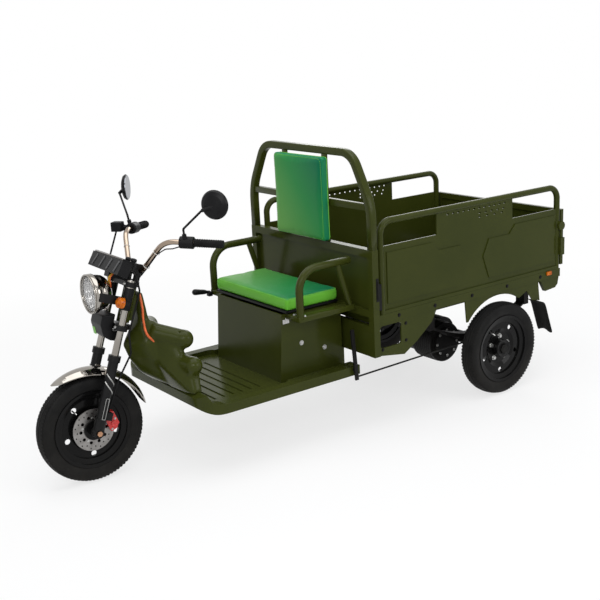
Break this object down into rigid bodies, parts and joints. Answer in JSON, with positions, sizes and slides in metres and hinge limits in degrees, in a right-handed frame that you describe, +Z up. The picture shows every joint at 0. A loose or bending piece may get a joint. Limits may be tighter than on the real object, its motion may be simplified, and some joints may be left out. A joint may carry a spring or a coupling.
{
  "type": "electric cargo tricycle",
  "caption": "Electric cargo tricycle with steered front wheel, step-through deck, seat on a battery box and an open load bed with drop tailgate.",
  "frame": {"origin": "on the ground under the middle of the vehicle's length and width", "axes": "+X forward, +Y to the rider's left, +Z up"},
  "size_m": [2.6686, 0.974, 1.2759],
  "materials": {
    "tyre": "matt rubber",
    "rim_black": "gloss black",
    "disc_steel": "ground steel",
    "chrome": "polished",
    "axle_steel": "copper-toned plating",
    "slider_black": "satin black",
    "caliper_red": "gloss red",
    "lens": "clear",
    "amber": "translucent amber",
    "black_plastic": "satin black",
    "mirror": "silvered",
    "grip_rubber": "matt",
    "olive_paint": "gloss olive",
    "green_vinyl": "soft sheen",
    "lamp_red": "translucent red",
    "frame_black": "satin black",
    "loom_orange": "orange sheath"
  },
  "bodies": {
    "chassis": {"head_tube": "olive_paint", "leg_shield": "olive_paint", "cable_loom": "loom_orange", "foot_deck": "olive_paint", "seat_box": "olive_paint", "battery_block": "black_plastic", "armrests": "olive_paint", "hoop": "olive_paint", "backrest_cushion": "green_vinyl", "bulkhead": "olive_paint", "bed_floor": "olive_paint", "side_board_left": "olive_paint", "side_board_right": "olive_paint", "gate_latches": "olive_paint", "front_latches": "black_plastic", "side_markers": "amber", "tail_lamps": "lamp_red", "side_plates": "olive_paint", "wheel_arches": "olive_paint", "mudflaps": "grip_rubber", "rear_gussets": "olive_paint", "bed_rails": "frame_black", "front_cross_frame": "olive_paint", "deck_rails": "frame_black", "rear_axle": "frame_black", "drive_motor": "frame_black", "leaf_springs": "frame_black", "brake_arm": "frame_black", "hand_brake": "black_plastic"},
    "steering": {"front_axle_pin": "axle_steel", "fork_sliders": "slider_black", "fork_tubes": "chrome", "fork_stem": "slider_black", "front_fender": "chrome", "brake_caliper": "caliper_red", "headlight_shell": "chrome", "headlight_lens": "lens", "lamp_brackets": "slider_black", "indicators": "amber", "display_unit": "black_plastic", "control_box": "black_plastic", "handlebar": "chrome", "grips": "grip_rubber", "hand_controls": "black_plastic", "mirrors": "black_plastic", "mirror_glasses": "mirror", "brake_hose": "grip_rubber"},
    "front_wheel": {"front_tyre": "tyre", "front_rim": "rim_black", "brake_disc": "disc_steel"},
    "rear_wheel_left": {"rear_tyre_left": "tyre", "rear_rim_left": "rim_black"},
    "rear_wheel_right": {"rear_tyre_right": "tyre", "rear_rim_right": "rim_black"},
    "seat": {"seat_lid": "black_plastic", "seat_cushion": "green_vinyl"},
    "tailgate": {"tailgate": "olive_paint"}
  },
  "joints": [
    {"name": "steering", "type": "hinge", "parent": "chassis", "child": "steering", "pos_m": [0.88332, 0, 0.73371], "axis": [-0.3355, 0, 0.9421], "range_deg": [-34.3, 41.7]},
    {"name": "front_wheel_spin", "type": "hinge", "parent": "steering", "child": "front_wheel", "pos_m": [1.10542, -0.00258, 0.22897], "axis": [0.0608, 0.9979, 0.0216], "continuous": true},
    {"name": "rear_left_spin", "type": "hinge", "parent": "chassis", "child": "rear_wheel_left", "pos_m": [-0.8615, 0.445, 0.229], "axis": [0, 1, 0], "continuous": true},
    {"name": "rear_right_spin", "type": "hinge", "parent": "chassis", "child": "rear_wheel_right", "pos_m": [-0.8615, -0.445, 0.229], "axis": [0, 1, 0], "continuous": true},
    {"name": "seat_hinge", "type": "hinge", "parent": "chassis", "child": "seat", "pos_m": [0.0005, 0, 0.604], "axis": [0, -1, 0], "range_deg": [0, 42]},
    {"name": "tailgate_hinge", "type": "hinge", "parent": "chassis", "child": "tailgate", "pos_m": [-1.3245, 0, 0.551], "axis": [0, -1, 0], "range_deg": [0, 170]}
  ]
}
